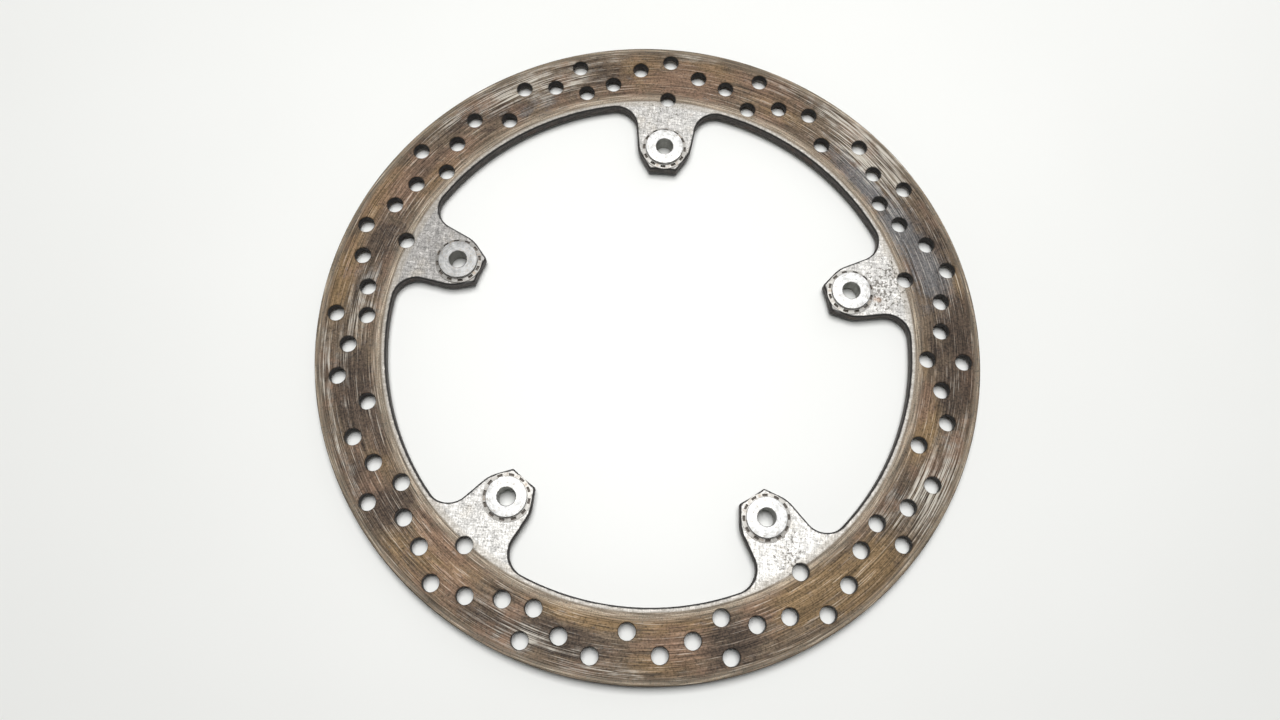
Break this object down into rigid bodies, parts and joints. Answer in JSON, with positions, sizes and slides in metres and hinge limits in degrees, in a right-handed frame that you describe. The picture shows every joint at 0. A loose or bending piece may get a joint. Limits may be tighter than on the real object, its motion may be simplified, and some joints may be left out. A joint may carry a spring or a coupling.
{
  "type": "floating brake disc rotor",
  "caption": "Drilled flat motorcycle brake disc with inward lugs, each holding a sprung floating flanged bush for a wheel bolt.",
  "frame": {"origin": "on the disc's axis, in the plane of the bushes' back faces, which bear on the wheel hub", "axes": "+Z is the disc's axis and points to the outer face, the one with the bush flanges; +Y runs out through lug 1; +X completes the frame"},
  "size_m": [0.32, 0.32, 0.0098],
  "materials": {
    "disc_steel": "ground stainless steel, glazed brown where the pads sweep it and blasted silver on the lugs",
    "bush_steel": "bright turned face, lightly marked",
    "spring_steel": "bright stamped spring steel with dirt in its windows",
    "shim_steel": "dull flat stock",
    "circlip_steel": "dark phosphated spring steel"
  },
  "bodies": {
    "disc": {"disc_ring": "disc_steel", "spring_ring_1": "spring_steel", "spring_ring_2": "spring_steel", "spring_ring_3": "spring_steel", "spring_ring_4": "spring_steel", "spring_ring_5": "spring_steel"},
    "float_1": {"shim_washer_1": "shim_steel"},
    "bush_1": {"bush_1": "bush_steel", "circlip_1": "circlip_steel"},
    "float_2": {"shim_washer_2": "shim_steel"},
    "bush_2": {"bush_2": "bush_steel", "circlip_2": "circlip_steel"},
    "float_3": {"shim_washer_3": "shim_steel"},
    "bush_3": {"bush_3": "bush_steel", "circlip_3": "circlip_steel"},
    "float_4": {"shim_washer_4": "shim_steel"},
    "bush_4": {"bush_4": "bush_steel", "circlip_4": "circlip_steel"},
    "float_5": {"shim_washer_5": "shim_steel"},
    "bush_5": {"bush_5": "bush_steel", "circlip_5": "circlip_steel"}
  },
  "joints": [
    {"name": "bush_1_float", "type": "slide", "parent": "disc", "child": "float_1", "axis": [0, 0, 1], "range_m": [-0.0004, 0], "stiffness_N_per_m": 3000, "springref_m": 0.0005, "deforming": ["spring_ring_1"]},
    {"name": "bush_1_spin", "type": "hinge", "parent": "float_1", "child": "bush_1", "pos_m": [0, 0.1015, 0.0049], "axis": [0, 0, 1], "continuous": true},
    {"name": "bush_2_float", "type": "slide", "parent": "disc", "child": "float_2", "axis": [0, 0, 1], "range_m": [-0.0004, 0], "stiffness_N_per_m": 3000, "springref_m": 0.0005, "deforming": ["spring_ring_2"]},
    {"name": "bush_2_spin", "type": "hinge", "parent": "float_2", "child": "bush_2", "pos_m": [-0.09653, 0.03136, 0.0049], "axis": [0, 0, 1], "continuous": true},
    {"name": "bush_3_float", "type": "slide", "parent": "disc", "child": "float_3", "axis": [0, 0, 1], "range_m": [-0.0004, 0], "stiffness_N_per_m": 3000, "springref_m": 0.0005, "deforming": ["spring_ring_3"]},
    {"name": "bush_3_spin", "type": "hinge", "parent": "float_3", "child": "bush_3", "pos_m": [-0.05966, -0.08211, 0.0049], "axis": [0, 0, 1], "continuous": true},
    {"name": "bush_4_float", "type": "slide", "parent": "disc", "child": "float_4", "axis": [0, 0, 1], "range_m": [-0.0004, 0], "stiffness_N_per_m": 3000, "springref_m": 0.0005, "deforming": ["spring_ring_4"]},
    {"name": "bush_4_spin", "type": "hinge", "parent": "float_4", "child": "bush_4", "pos_m": [0.05966, -0.08211, 0.0049], "axis": [0, 0, 1], "continuous": true},
    {"name": "bush_5_float", "type": "slide", "parent": "disc", "child": "float_5", "axis": [0, 0, 1], "range_m": [-0.0004, 0], "stiffness_N_per_m": 3000, "springref_m": 0.0005, "deforming": ["spring_ring_5"]},
    {"name": "bush_5_spin", "type": "hinge", "parent": "float_5", "child": "bush_5", "pos_m": [0.09653, 0.03136, 0.0049], "axis": [0, 0, 1], "continuous": true}
  ]
}
